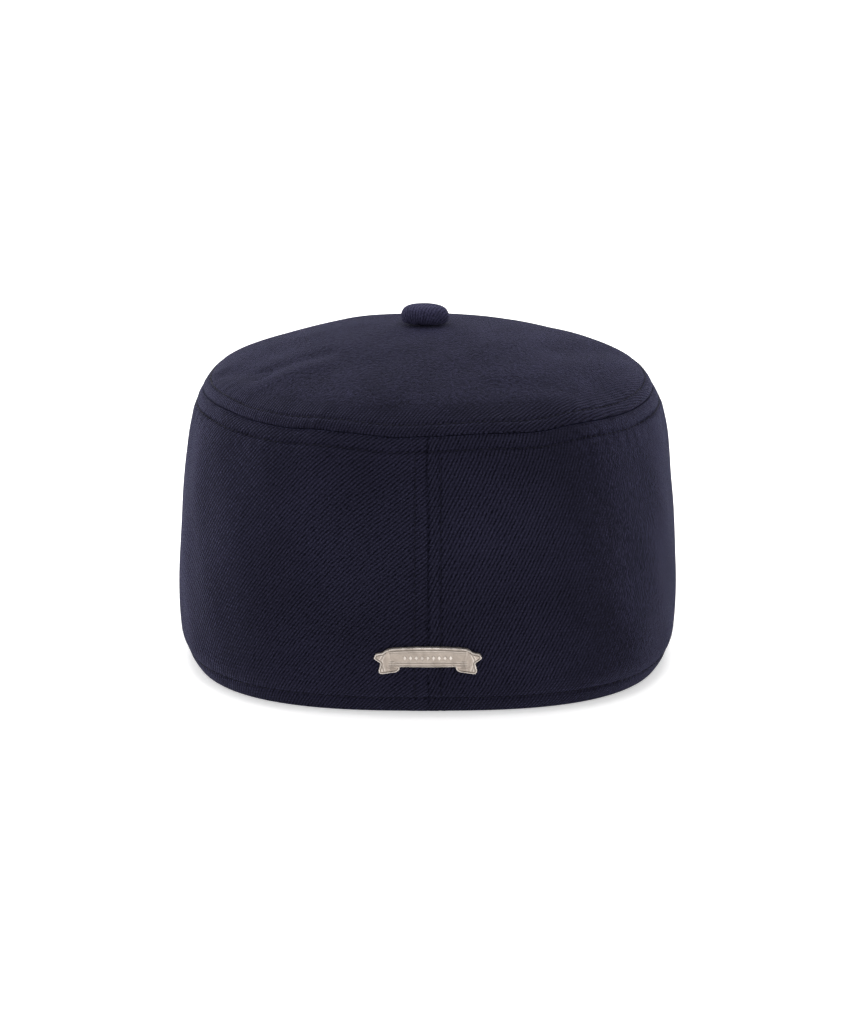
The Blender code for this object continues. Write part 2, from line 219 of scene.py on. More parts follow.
# one mesh object from whole arrays; it rides on the root and stands for the named CAD node
def addPiece(name, points, faceSets, material, node=None, cloth=None, smoothAngle=None, marks=None):
    loops = np.concatenate([faces.ravel() for faces in faceSets])
    sizes = np.concatenate([np.full(len(faces), faces.shape[1]) for faces in faceSets])
    starts = running(sizes[:-1])
    mesh = bpy.data.meshes.new(name)
    mesh.vertices.add(len(points))
    mesh.vertices.foreach_set("co", np.ascontiguousarray(points, dtype=np.float32).ravel())
    mesh.loops.add(len(loops))
    mesh.loops.foreach_set("vertex_index", loops.astype(np.int32))
    mesh.polygons.add(len(sizes))
    mesh.polygons.foreach_set("loop_start", starts.astype(np.int32))
    if cloth is not None:
        layer = mesh.uv_layers.new(name="cloth")
        layer.data.foreach_set("uv", np.ascontiguousarray(cloth, dtype=np.float32).ravel())
    for mark, values in (marks or {}).items():
        mesh.attributes.new(mark, "FLOAT", "POINT").data.foreach_set("value", values.astype(np.float32).ravel())
    mesh.update(calc_edges=True)
    mesh.validate()
    mesh.shade_smooth()
    if smoothAngle:
        mesh.set_sharp_from_angle(angle=math.radians(smoothAngle))
    mesh.materials.append(material)
    piece = addObject(name, mesh)
    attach(piece, "root")
    if node:
        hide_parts(node)
    print(name, len(points), "points")
    return piece


# sets each named input of a node to a number or colour, or links another node's output to it
def feed(node, inputs):
    for key, value in inputs.items():
        if isinstance(value, bpy.types.NodeSocket):
            node.id_data.links.new(value, node.inputs[key])
        else:
            node.inputs[key].default_value = value


# one shader node: settings are its own values, inputs are fed
def addNode(tree, kind, inputs=None, **settings):
    made = tree.nodes.new("ShaderNode" + kind)
    for name, value in settings.items():
        setattr(made, name, value)
    feed(made, inputs or {})
    return made


# one operation on sockets or numbers
def maths(tree, operation, a, b=0.0, c=0.0):
    return addNode(tree, "Math", {0: a, 1: b, 2: c}, operation=operation).outputs[0]


# a product, and a number added to it
def times(tree, a, b, plus=0.0):
    return maths(tree, "MULTIPLY_ADD", a, b, plus)


# value as a share between low and high
def span(tree, value, low, high, toLow=0.0, toHigh=1.0):
    made = addNode(tree, "MapRange", {"Value": value, "From Min": low, "From Max": high,
                                      "To Min": toLow, "To Max": toHigh}, clamp=True)
    return made.outputs["Result"]


# a noise of the given size over a place
def noise(tree, place, scale, detail, roughness=0.5, distortion=0.0):
    return addNode(tree, "TexNoise", {"Vector": place, "Scale": scale, "Detail": detail, "Roughness": roughness,
                                      "Distortion": distortion}).outputs[0]


# colour a, turning into b as the factor grows to 1, or the blend of the two
def mixColour(tree, factor, a, b, blend="MIX"):
    inputs = {0: factor, 6: a, 7: b}
    return addNode(tree, "Mix", inputs, data_type="RGBA", blend_type=blend).outputs[2]


# the colour made lighter or darker by a number
def shaded(tree, colour, shade):
    grey = addNode(tree, "CombineColor", {0: shade, 1: shade, 2: shade}).outputs[0]
    return mixColour(tree, 1.0, colour, grey, "MULTIPLY")


# an empty material with its node tree and its shader
def newMaterial(name):
    material = bpy.data.materials.new(name)
    material.use_nodes = True
    tree = material.node_tree
    return material, tree, tree.nodes["Principled BSDF"]


# a closed ring of cloth from its rows: its cloth map has one more row and station than the ring
def addRing(name, rows, spread, nap, material, node):
    faces, openFaces = gridFaces(rows.shape[1], len(rows), True, True)
    points = np.swapaxes(rows, 0, 1).reshape(-1, 3)
    marks = dict(nap=np.broadcast_to(nap, (rows.shape[1], len(rows))))
    cloth = spread.reshape(-1, 2)[openFaces.ravel()]
    return addPiece(name, points, [faces], material, node, cloth, None, marks)


twill = dict(
    ribPitch=0.00118,  # from rib to rib, straight across
    floatPitch=0.00120,  # the short floats that make up a rib
    ribAngle=52.0,  # degrees from the strip's own length, rising to the right
    ribDrift=0.0009,  # how far slow and quick noise move the ribs sideways, and the floats along them
    ribSlub=0.00050,
    floatSlub=0.0009,
    floatDepth=0.46,  # share of a rib's height that its floats take
    groove=(0.0014, 0.0014, 0.0042, 1),  # colour down between the ribs: painted shade
    rib=(0.0205, 0.0193, 0.0385, 1),  # colour on top of the ribs, painted lighter: painted light
    lint=(0.052, 0.050, 0.090, 1),  # the palest fibres of the yarn
    bumpDepth=0.00034,
    brushedAngle=-14.0,  # the way that the nap is brushed, and how much its tufts are stretched along it
    brushedStretch=0.62,
    shader={"Roughness": 0.9, "Specular IOR Level": 0.04, "Sheen Weight": 0.185, "Sheen Roughness": 0.20,
            "Sheen Tint": (0.51, 0.51, 1.0, 1)},
)


# navy wool twill: on the cloth map, sine ribs across the rib direction, short floats along them and a nap that
# hides the ribs where the piece's own attribute "nap" is near 1
def twillMaterial(name, angle, light=1.0, napPaintedShade=0.0):
    material, tree, shader = newMaterial(name)
    place = addNode(tree, "UVMap", uv_map="cloth").outputs[0]
    nap = addNode(tree, "Attribute", attribute_name="nap").outputs["Fac"]
    brushed = addNode(tree, "Mapping", {"Vector": place, "Rotation": (0, 0, math.radians(twill["brushedAngle"])),
                                        "Scale": (1.0, twill["brushedStretch"], 1.0)}).outputs[0]
    broken = noise(tree, place, 620.0, 1.0)
    drift = noise(tree, place, 160.0, 2.0)
    slub = noise(tree, place, 1100.0, 1.0)
    fibre = noise(tree, place, 3400.0, 3.0, 0.65)
    fleck = noise(tree, place, 1500.0, 4.0, 0.7)
    fuzz = noise(tree, brushed, 1250.0, 4.0, 0.62)
    tuft = noise(tree, brushed, 820.0, 4.0, 0.66, 0.8)
    cloud = noise(tree, place, 38.0, 3.0)
    drape = noise(tree, brushed, 70.0, 4.0, 0.6)

    # ribs and floats: 0 in the grooves, 1 on the ribs, and near a half where the nap or a worn spot hides them
    turned = addNode(tree, "Mapping", {"Vector": place, "Rotation": (0, 0, -math.radians(angle))}).outputs[0]
    parts = addNode(tree, "SeparateXYZ", {0: turned})
    across = times(tree, drift, twill["ribDrift"], parts.outputs[1])
    across = times(tree, slub, twill["ribSlub"], across)
    phase = times(tree, across, 2 * math.pi / twill["ribPitch"])
    ribs = maths(tree, "POWER", times(tree, maths(tree, "SINE", phase), 0.5, 0.5), 0.8)
    along = times(tree, slub, twill["floatSlub"], parts.outputs[0])
    step = times(tree, along, 2 * math.pi / twill["floatPitch"], times(tree, phase, 0.5))
    floats = times(tree, maths(tree, "SINE", step), 0.5, 0.5)
    weave = times(tree, ribs, times(tree, floats, twill["floatDepth"], 0.66))
    clear = times(tree, times(tree, nap, -0.9, 1.0),
                  span(tree, broken, 0.34, 0.62, 0.40, 1.15))
    weave = times(tree, maths(tree, "SUBTRACT", weave, 0.5), clear, 0.5)

    # height of the cloth's surface, as a share of bumpDepth
    height = times(tree, fibre, 0.6, times(tree, weave, 0.8))
    height = times(tree, times(tree, fuzz, nap), 1.3, height)
    height = times(tree, times(tree, tuft, nap), 2.4, height)
    bump = addNode(tree, "Bump", {"Height": height, "Strength": 1.0, "Distance": twill["bumpDepth"]})

    # colour: painted shade in the grooves and painted light on the ribs, pale flecks, then broad clouds, turned nap,
    # single fibres and tufts
    colour = mixColour(tree, weave, twill["groove"], twill["rib"])
    colour = mixColour(tree, span(tree, fleck, 0.54, 0.80, 0.0, 0.5), colour, twill["lint"])
    # light makes this whole copy of the cloth lighter or darker: painted light and painted shade
    shade = span(tree, cloud, 0.3, 0.7, 0.87 * light, 1.13 * light)
    # on the napped patches the tone varies at random with wear, and on the band it is also painted darker: painted
    # shade, mostly right of the back seam
    wearAndPaintedLight = span(tree, drape, 0.32, 0.68, napPaintedShade - 0.20, napPaintedShade + 0.18)
    shade = times(tree, shade, times(tree, wearAndPaintedLight, nap, 1.0))
    shade = times(tree, shade, span(tree, fibre, 0.35, 0.65, 0.54, 1.44))
    soft = times(tree, span(tree, fuzz, 0.32, 0.68, 0.48, 1.56), span(tree, tuft, 0.32, 0.68, 0.42, 1.68))
    soft = times(tree, maths(tree, "SUBTRACT", soft, 1.0), nap, 1.0)
    colour = shaded(tree, colour, times(tree, shade, soft))

    feed(shader, {"Base Color": colour, "Normal": bump.outputs[0], **twill["shader"]})
    return material


thread = dict(
    radius=0.00017,
    bury=0.00030,  # how deep a stitch's ends go into the cloth
    share=0.80,  # of the pitch that a stitch takes
    steps=9,
    sides=6,
    dark=(0.0022, 0.0021, 0.0055, 1),
    pale=(0.0085, 0.0080, 0.0180, 1),
    shader={"Roughness": 0.6, "Specular IOR Level": 0.10},
)


# spun thread: a fine twist on the object's own place, a little glossier than the cloth
def threadMaterial(name):
    material, tree, shader = newMaterial(name)
    twist = noise(tree, addNode(tree, "TexCoord").outputs["Object"], 2600.0, 2.0)
    colour = mixColour(tree, span(tree, twist, 0.35, 0.65), thread["dark"], thread["pale"])
    bump = addNode(tree, "Bump", {"Height": twist, "Strength": 0.6, "Distance": 0.0001})
    feed(shader, {"Base Color": colour, "Normal": bump.outputs[0], **thread["shader"]})
    return material


band = dict(
    hemRoll=0.0014,  # radius of the folded hem
    hemLean=-32.0,  # degrees: how the wall already leans in where the roll starts
    hemStitch=0.0058,  # topstitch above the rim
    seamStitch=0.0045,  # topstitch below the crown seam
    backStitch=0.0045,  # topstitch on each side of the back seam
    stitchPitch=0.0030,
    valley=0.00024,  # how deep a topstitch pulls the cloth in, times the strength of each row
    hemValley=1.3,
    seamValley=1.9,
    rightValley=1.45,
    leftValley=0.75,
    puffs=(0.00022, 0.00024),  # how far the cloth swells outside the hem's topstitch and the crown seam's
    layered=0.00014,  # how far it lifts over the cloth turned back at the crown seam
    raggedSeam=0.00060,  # how deep the crown seam cuts in
    seamPucker=0.00014,
    hemPucker=0.00007,
    backSeam=0.00100,  # depth and half width of the back seam, and how far the cloth stands beside it
    backSeamWidth=0.00048,
    backPuff=0.00022,
    backRidges=0.00005,
    topRoll=0.00045,
    coneRadius=1.43,  # the strip is cut on this curve, so its grain turns 12 degrees each way from the front
    leftPull=50.0,  # how much the strip's left end was eased in at the hem, and its right end at the crown
    rightPull=20.0,
)
# lift of the crown seam at the back: place as a share of the half width, to the right of the middle
seamLiftTable = tableOf("at lift", [
    (-1.00, 0.00000),
    (-0.83, 0.00020),
    (-0.70, -0.00040),
    (-0.55, -0.00045),
    (-0.40, 0.00055),
    (-0.27, 0.00030),
    (-0.13, -0.00045),
    (0.00, 0.00000),
    (0.20, 0.00050),
    (0.42, -0.00030),
    (0.56, 0.00055),
    (0.69, 0.00010),
    (0.84, -0.00035),
    (1.00, 0.00000),
])
seamWaves = tableOf("lift longA longB phase", [
    (0.00030, 0.083, 9.0, 0.4),
    (0.00022, 0.049, 9.0, 2.1),
])
# nap that hides the ribs: side of the back seam, share, and the distances where it starts and is full
bandNap = tableOf("side share near far", [
    (1, 0.72, 0.032, 0.078),
    (1, -0.37, 0.100, 0.200),
    (-1, 0.35, 0.070, 0.110),
])
bandWaves = tableOf("lift longA longB phase", [
    (0.00022, 0.072, 0.110, 0.9),
    (0.00016, 0.041, -0.083, 2.7),
    (0.00010, 0.026, 0.047, 4.4),
    (0.00022, 0.190, -0.160, 5.3),
])
# small folds that run away from the crown seam: place from the back seam and reach as shares of the seam's half
# width, lift as a share of the wall, lean sideways for each step away
seamFolds = tableOf("at reach width lift lean", [
    (-0.60, 0.085, 0.012, -0.16, 0.5),
    (-0.56, 0.070, 0.011, 0.13, 0.5),
    (-0.33, 0.060, 0.014, -0.10, -0.4),
    (0.30, 0.060, 0.012, -0.09, 0.7),
    (0.70, 0.100, 0.013, -0.20, -0.9),
    (0.75, 0.090, 0.012, 0.16, -0.9),
    (0.86, 0.090, 0.014, -0.14, -0.7),
    (1.02, 0.080, 0.015, -0.12, 0.6),
    (-0.95, 0.080, 0.015, -0.12, 0.4),
])


# the seam folds: each a bell across its line that dies out with distance from the seam
def foldLift(length, away, turnLean):
    place = np.mod(length + roundLength / 2, roundLength) - roundLength / 2
    lift = 0
    for fold in seamFolds:
        line = fold["at"] * seamHalfWidth + (turnLean - fold["lean"]) * away
        lift = lift + fold["lift"] * cap["wall"] * bell(place, line, fold["width"] * seamHalfWidth) \
            * bell(away, 0.0, fold["reach"] * seamHalfWidth)
    return lift


# half width, half length and squareness of the wall at a level, from its table
def bandSizes(level):
    share = level / cap["bandHeight"]
    spread = smoothTable(bandSection, "height", "spread", share)
    return cap["halfWidth"] * spread, cap["halfLength"] * spread, smoothTable(bandSection, "height", "square", share)


seamHalfWidth, seamHalfLength, seamSquare = (float(size) for size in bandSizes(cap["bandHeight"]))

# length round the cap at half height against the turn from the back seam, counted to the right
turnTable = np.linspace(0, 2 * np.pi, 6001)
midX, midY = oval(turnTable - np.pi / 2, *bandSizes(cap["bandHeight"] / 2))
roundTable = running(np.hypot(np.diff(midX), np.diff(midY)))
roundLength = roundTable[-1]


# turn from the back seam at a length round the cap
def turnAt(length):
    return np.interp(np.mod(length, roundLength), roundTable, turnTable)


# distance from the back seam, whichever way is shorter
def fromSeam(length):
    length = np.mod(length, roundLength)
    return np.minimum(length, roundLength - length)


# how far the crown seam lies above its level plane: the table at the back, soft sines round the rest
def seamLift(length):
    turn = turnAt(length)
    side = np.sin(turn)
    back = ease(np.cos(turn), -0.05, 0.25)
    return back * smoothTable(seamLiftTable, "at", "lift", side) + (1 - back) * waves(seamWaves, length, 0.0)


# how much a valley deepens at each stitch: one cosine wave a pitch
def stitchBeat(length):
    return 1 + 0.60 * np.cos(2 * np.pi * length / band["stitchPitch"])


# fine puckers along a seam: a drifting sine that swells and fades
def puckers(length, spacing, slow, swell):
    return drifting(length, spacing, 3, slow) * (0.6 + 0.4 * np.sin(length / swell))


# how far the cloth stands out from the smooth wall: stitched valleys, the ridges beside them, puckers, soft waves
def bandLift(length, level):
    below = cap["bandHeight"] - level
    aside = fromSeam(length)
    depth = band["valley"] * stitchBeat(length) * (1 + 0.35 * drifting(length, 0.0053, 2, 0.031))
    lift = waves(bandWaves, length, level) * ease(level, 0.0, 0.020) * ease(below, 0.0, 0.012)
    lift = lift - band["hemValley"] * depth * bell(level, band["hemStitch"], 0.00075)
    lift = lift - band["seamValley"] * depth * bell(below, band["seamStitch"], 0.00070)
    lift = lift + band["puffs"][0] * hump(level, 0.0, band["hemStitch"])
    lift = lift + band["puffs"][1] * hump(below, -0.0006, band["seamStitch"])
    lift = lift + band["layered"] * (1 - ease(below, 0.0050, 0.0085)) + foldLift(length, below, 0.0)
    ragged = 0.6 + 0.4 * drifting(length, 0.0041, 2, 0.0117)
    lift = lift - band["raggedSeam"] * ragged * bell(below, 0.0, 0.00090)
    pucker = puckers(length, 0.00125, 0.017, 0.011)
    lift = lift + band["seamPucker"] * pucker * bell(below, band["seamStitch"] + 0.0022, 0.0030)
    lift = lift + band["hemPucker"] * pucker * bell(level, band["hemStitch"] + 0.0018, 0.0026)

    # the back seam, on a line that sways a little, with its two rows of stitches and fine ridges across it
    sway = 0.00016 * drifting(level, 0.0047, 1.3, 0.019)
    signed = np.where(np.mod(length, roundLength) < roundLength / 2, aside, -aside) - sway
    seamWidth = band["backSeamWidth"] * (1 + 0.25 * drifting(level, 0.0041, 2, 0.011))
    lift = lift - band["backSeam"] * (0.1 + 0.9 * ease(level, 0.001, 0.006)) * bell(signed, 0.0, seamWidth)
    lift = lift + band["backPuff"] * (1 - ease(aside, 0.0052, 0.0078))
    depth = band["valley"] * stitchBeat(level - band["hemStitch"])
    lift = lift - depth * band["rightValley"] * bell(signed, band["backStitch"], 0.00055)
    lift = lift - depth * band["leftValley"] * bell(signed, -band["backStitch"], 0.00055)
    lift = lift + band["backRidges"] * drifting(level, 0.0016, 2, 0.013) * bell(aside, 0.0025, 0.0020)

    # the badge holds the cloth flat
    fromBadge = np.abs(level - badge["level"] + badge["tailDrop"] / 5)
    pressed = 1 - np.maximum(ease(aside, badge["tailReach"], badge["tailReach"] + 0.004),
                             ease(fromBadge, 0.0052, 0.0066))
    return lift - pressed * (0.8 * lift + 0.00010)


# a point of the wall at a length round it and a level, moved out of the cap by out
def bandShell(length, level, out=0.0):
    halfX, halfY, square = bandSizes(level)
    x, y = oval(turnAt(length) - np.pi / 2, halfX + out, halfY + out, square)
    z = level + seamLift(length) * ease(level / cap["bandHeight"], 0.55, 1.0)
    return np.stack(np.broadcast_arrays(x, y, z), -1)


# the wall's outer face: the smooth wall, stood out by bandLift
def bandFace(length, level):
    return bandShell(length, level, bandLift(length, level))


# level unit vectors out of the cap at lengths round it
def outwards(length):
    turn = turnAt(length) - np.pi / 2
    halfX, halfY, square = bandSizes(cap["bandHeight"] / 2)
    x, y = oval(turn, halfX, halfY, square)
    normal = np.stack([np.sign(x) * np.abs(x / halfX) ** (square - 1) / halfX,
                       np.sign(y) * np.abs(y / halfY) ** (square - 1) / halfY, 0 * x], -1)
    return unit(normal)


# rows of an arc that starts on a given row: the start, moved by the change of radius times cosine and sine
def arcRows(start, out, radius, angles):
    up = np.array([0.0, 0.0, 1.0])
    first = math.radians(angles[0])
    radius = np.asarray(radius)[..., None] if np.ndim(radius) else radius
    return [start + out * radius * (math.cos(a) - math.cos(first)) + up * radius * (math.sin(a) - math.sin(first))
            for a in np.radians(angles[1:])]


# lengths round the cap of the mesh's stations: close together over the back seam
def stations(count):
    near = np.linspace(0, 0.0085, 31)
    far = np.linspace(near[-1], roundLength - near[-1], count - 2 * len(near) + 3)[1:-1]
    return np.concatenate([near, far, roundLength - near[:0:-1]])


# flat cloth of the strip: a piece of a cone, so a rib that is straight on the cloth turns along the band
def stripMap(length, up):
    left, right = roundLength - length, length
    up = up + band["leftPull"] * left**2 * np.exp(-((left / 0.12) ** 4)) * (1.03 * cap["bandHeight"] - up) \
        + band["rightPull"] * right**2 * np.exp(-((right / 0.12) ** 4)) * up
    angle = (length - roundLength / 2) / band["coneRadius"]
    radius = band["coneRadius"] - up
    return np.stack([radius * np.sin(angle), band["coneRadius"] - radius * np.cos(angle)], -1)


# distance along the section from its first row, averaged over the stations
def rowDistance(rows):
    return running(np.linalg.norm(np.roll(rows, -1, axis=0) - rows, axis=-1).mean(axis=1))


# the band as one closed ring of cloth: outside, folded top edge, inside with its allowances, rolled hem
def buildBand(material):
    length = stations(600)
    out = outwards(length)
    height = cap["bandHeight"]
    start = band["hemRoll"] * (1 + math.sin(math.radians(band["hemLean"])))
    levels = runs([start, 0.0044, 0.0074, height - 0.0100, height - band["topRoll"]], [8, 12, 58, 30])
    rows = [bandFace(length, level) for level in levels]
    rows += arcRows(rows[-1], out, band["topRoll"], [0, 20, 45, 70, 90])
    seam = fromSeam(length)
    doubled = 1 - ease(seam, cap["allowance"], cap["allowance"] + 0.0008)
    single = cap["wall"] + (cap["fold"] - cap["wall"]) * doubled
    folded = cap["fold"] + 0 * single
    between = np.linspace(height - cap["allowance"] - 0.0008, cap["hemDepth"] + 0.0008, 34)
    inner = [(height, folded), (height - cap["allowance"], folded)] + [(level, single) for level in between]
    inner += [(cap["hemDepth"], folded), (cap["hemDepth"] / 2, folded)]
    soft = waves(bandWaves, length, 0.045)
    for level, inset in inner:
        swell = soft * ease(level, 0.01, 0.03) * ease(height - level, 0.007, 0.02)
        rows.append(bandShell(length, level, swell - inset))
    rows += arcRows(rows[0], out, band["hemRoll"], [band["hemLean"]] + list(np.linspace(-180, -50, 9)))
    rows = np.array(rows)
    spread = stripMap(*np.meshgrid(np.append(length, roundLength), rowDistance(rows), indexing="ij"))
    signed = np.where(length < roundLength / 2, length, length - roundLength)
    nap = sum(step["share"] * ease(step["side"] * signed, step["near"], step["far"]) for step in bandNap)
    return addRing("bandCloth", rows, spread, nap[:, None], material, "side_band")


crown = dict(
    stitch=0.036,  # topstitch in from the seam, as a share of the way to the middle
    valley=0.00022,
    puff=0.00022,  # how far the cloth swells outside the topstitch
    layered=0.00012,  # how far it lifts over the cloth turned back inside
    pucker=0.00010,
    buttonDip=0.0005,  # how far the button pulls the middle in
    foldLean=43.0,  # degrees: how the dome slopes where its folded edge starts
    ribAngle=57.0,
    holeRadius=0.0017,
    shift=(buttonLow[0] + buttonHigh[0]) / 2,  # the middle lies where the button is sewn
)
crownWaves = tableOf("lift longA longB phase", [
    (0.00010, 0.061, 0.090, 1.2),
    (0.00007, 0.043, -0.052, 3.3),
    (0.00005, -0.027, 0.031, 0.2),
    (0.00012, 0.160, 0.110, 4.0),
])
# soft creases of the crown: lines between two places in shares of the seam's half sizes, width in the same shares
crownCreases = tableOf("start end width lift", [
    ((-0.90, -0.14), (-0.73, -0.36), 0.054, -0.00120),
    ((-0.73, -0.36), (-0.45, -0.33), 0.058, -0.00090),
    ((-0.76, -0.50), (-0.46, -0.45), 0.055, 0.00045),
    ((-0.62, 0.30), (-0.40, 0.45), 0.170, 0.00080),
    ((0.26, -0.70), (0.62, -0.62), 0.060, -0.00040),
    ((0.58, -0.20), (0.82, 0.06), 0.085, -0.00060),
    ((-0.30, 0.10), (-0.55, 0.02), 0.080, 0.00040),
    ((0.10, -0.36), (-0.24, -0.50), 0.090, -0.00035),
])


# the creases: each a bell across its line, with round ends
def creaseLift(place):
    lift = 0
    for crease in crownCreases:
        away = distanceTo(place, np.array([crease["start"], crease["end"]]))
        lift = lift + crease["lift"] * bell(away, 0.0, crease["width"])
    return lift


# the smooth dome: an oval of each share of the way to the seam, at its height
def crownShell(length, share):
    direction = turnAt(length) - np.pi / 2
    halfX = crown["holeRadius"] + (seamHalfWidth - crown["holeRadius"]) * share
    halfY = crown["holeRadius"] + (seamHalfLength - crown["holeRadius"]) * share
    x, y = oval(direction, halfX, halfY, 2 + (seamSquare - 2) * share**2)
    depth = 0
    for dent in crownDents:
        away = (x / seamHalfWidth - dent["across"]) ** 2 + (y / seamHalfLength - dent["along"]) ** 2
        depth = depth + dent["depth"] * np.exp(-3 * away / dent["reach"] ** 2)
    fall = smoothTable(crownSection, "reach", "fall", share) + depth * (1 - share**12)
    z = cap["apex"] - cap["rise"] * fall + seamLift(length) * ease(share, 0.75, 1.0)
    return np.stack(np.broadcast_arrays(x + crown["shift"] * (1 - share) ** 2, y, z), -1)


# unit normals of the smooth dome, upwards, worked out clear of its middle and its edge
def crownNormals(length, share):
    share = np.clip(share, 0.012, 0.992)
    return -normalsOf(crownShell, length, share, 0.0008, 0.006)


# how far the cloth stands off the smooth dome: the stitched valley, the puffed edge outside it, puckers, waves
def crownLift(length, share):
    place = crownShell(length, share)
    inside = 1 - share
    depth = crown["valley"] * stitchBeat(length) * (1 + 0.35 * drifting(length, 0.0061, 2, 0.027))
    lift = waves(crownWaves, place[..., 0], place[..., 1]) * ease(inside, 0.0, 0.12) * ease(share, 0.05, 0.25)
    lift = lift + creaseLift(place[..., :2] / [seamHalfWidth, seamHalfLength]) * ease(inside, 0.0, 0.10)
    lift = lift - depth * bell(inside, crown["stitch"], 0.0075)
    lift = lift + crown["puff"] * hump(inside, -0.004, crown["stitch"])
    lift = lift + crown["layered"] * (1 - ease(inside, crown["stitch"] + 0.006, crown["stitch"] + 0.040))
    lift = lift + foldLift(length, inside * seamHalfWidth, 0.6)
    pucker = crown["pucker"] * puckers(length, 0.00150, 0.021, 0.013)
    lift = lift + pucker * bell(inside, crown["stitch"] + 0.028, 0.032)
    return lift - crown["buttonDip"] * bell(share, 0.0, 0.07)


# the crown's outer face: the smooth dome, stood out along its normals by crownLift
def crownFace(length, share):
    return crownShell(length, share) + crownNormals(length, share) * crownLift(length, share)[..., None]


# flat cloth of the crown: each point at its distance over the dome from the apex, in its own direction
def crownMap(share, surface):
    ring = np.linspace(0, 1, 400)
    radius = ring * (seamHalfWidth + seamHalfLength) / 2
    fall = smoothTable(crownSection, "reach", "fall", ring) * cap["rise"]
    overDome = running(np.hypot(np.diff(radius), np.diff(fall)))
    stretch = np.interp(share, ring[1:], overDome[1:] / radius[1:])
    return surface[..., :2] * stretch[..., None]


# the crown as one closed ring of cloth: folded edge, dome, hole for the button, inside with its allowance
def buildCrown(material):
    length = stations(600)
    out = outwards(length)
    shares = runs([0.994, 0.925, 0.10, 0.0], [28, 66, 7])
    outside = [crownFace(length, share) for share in shares]
    edge = outside[0]
    level = cap["seamLevel"] + seamLift(length)
    radius = (edge[:, 2] - level) / (1 + math.sin(math.radians(crown["foldLean"])))
    fold = arcRows(edge, out, radius, [crown["foldLean"], 20, -5, -30, -55, -75, -90])[::-1]
    turnedIn = 1 - cap["allowance"] / seamHalfLength
    innerShares = np.concatenate([np.linspace(0.0, 0.9, 30), [turnedIn - 0.008]])
    inside = [outside[-1] - [0, 0, cap["wall"]]]
    for share, depth in [(share, cap["wall"]) for share in innerShares[1:]] + [(turnedIn, cap["fold"])]:
        inside.append(crownShell(length, share) - crownNormals(length, share) * depth)
    ledge = fold[0] - out * cap["fold"]
    rows = np.array(fold + outside + inside + [ledge])
    sharesAll = np.concatenate([np.full(len(fold), 1.0), shares, innerShares, [turnedIn, 0.97]])
    closed = np.pad(rows, ((0, 1), (0, 1), (0, 0)), "wrap")
    spread = crownMap(np.append(sharesAll, 1.0)[:, None], closed)
    nap = 1 - 0.97 * ease(sharesAll, 0.83, 0.95)
    return addRing("crownCloth", rows, np.swapaxes(spread, 0, 1), nap, material, "crown_top")


# many short threads in one mesh: each path carries a ring of sides, flattened to points at its two buried ends
def threadRows(name, paths, ups, material):
    along = unit(np.gradient(paths, axis=1))
    side = unit(np.cross(along, ups))
    up = np.cross(side, along)
    turn = np.linspace(0, 2 * np.pi, thread["sides"], endpoint=False)
    t = np.linspace(-1, 1, paths.shape[1])
    radius = thread["radius"] * np.clip(1 - np.abs(t) ** 6, 0.35, 1)
    ring = np.cos(turn)[:, None] * side[:, :, None] + np.sin(turn)[:, None] * up[:, :, None]
    points = paths[:, :, None] + ring * radius[None, :, None, None]
    count, steps, sides = points.shape[:3]
    base = np.arange(count) * steps * sides
    faces, _ = gridFaces(steps, sides, False, True)
    faces = (base[:, None, None] + faces[None]).reshape(-1, 4)
    endA = (base[:, None] + np.arange(sides)[None]).reshape(-1, sides)
    endB = (base[:, None] + (steps - 1) * sides + np.arange(sides)[None, ::-1]).reshape(-1, sides)
    return addPiece(name, points.reshape(-1, 3), [faces, endA, endB], material, None)


# stitches along a line of surface(a, b): each dips into the cloth at its ends and lies on it between
def stitchLine(name, surface, normals, starts, pitch, fixed, alongFirst, material):
    t = np.linspace(-0.5, 0.5, thread["steps"])
    place = starts[:, None] + t[None] * pitch * thread["share"]
    other = np.broadcast_to(fixed, place.shape)
    a, b = (place, other) if alongFirst else (other, place)
    up = normals(a, b)
    height = thread["radius"] * 0.55 - thread["bury"] * np.abs(2 * t) ** 4
    paths = surface(a, b) + up * height[None, :, None]
    return threadRows(name, paths, up, material)


# unit normals of the smooth wall, outwards
def bandNormals(length, level):
    return normalsOf(bandShell, length, level, 0.0008, 0.0008)


# five rows of stitches: evenly spaced round the hem and the seam, and up both sides of the back seam
def buildStitches(material):
    pitch = band["stitchPitch"]
    count = int(roundLength / pitch)
    around = (np.arange(count) + 0.5) * roundLength / count
    stitchLine("hemStitches", bandFace, bandNormals, around, pitch, band["hemStitch"], True, material)
    stitchLine("bandSeamStitches", bandFace, bandNormals, around, pitch, cap["bandHeight"] - band["seamStitch"],
               True, material)
    stitchLine("crownSeamStitches", crownFace, crownNormals, around, pitch, 1 - crown["stitch"], True, material)
    upwards = np.arange(band["hemStitch"] + pitch / 2, cap["bandHeight"] - band["seamStitch"], pitch)
    for word, place in (("right", band["backStitch"]), ("left", roundLength - band["backStitch"])):
        stitchLine(f"backStitches_{word}", bandFace, bandNormals, upwards, pitch, place, False, material)


button = dict(
    radius=(buttonHigh[0] - buttonLow[0]) / 2,
    seat=cap["apex"] + 0.0003,
    washerRadius=0.0048,
    washerThickness=0.0008,
    shankRadius=0.0014,
    ribAngle=74.0,
    pleats=13,  # small gathers where the cloth is drawn under the mould
    pleatDepth=0.032,  # share of the radius
    unround=0.010,
    wave=0.00012,
    tilt=0.00030,  # how much higher its left side stands
    nap=0.40,
)
button["height"] = buttonHigh[2] - button["seat"]
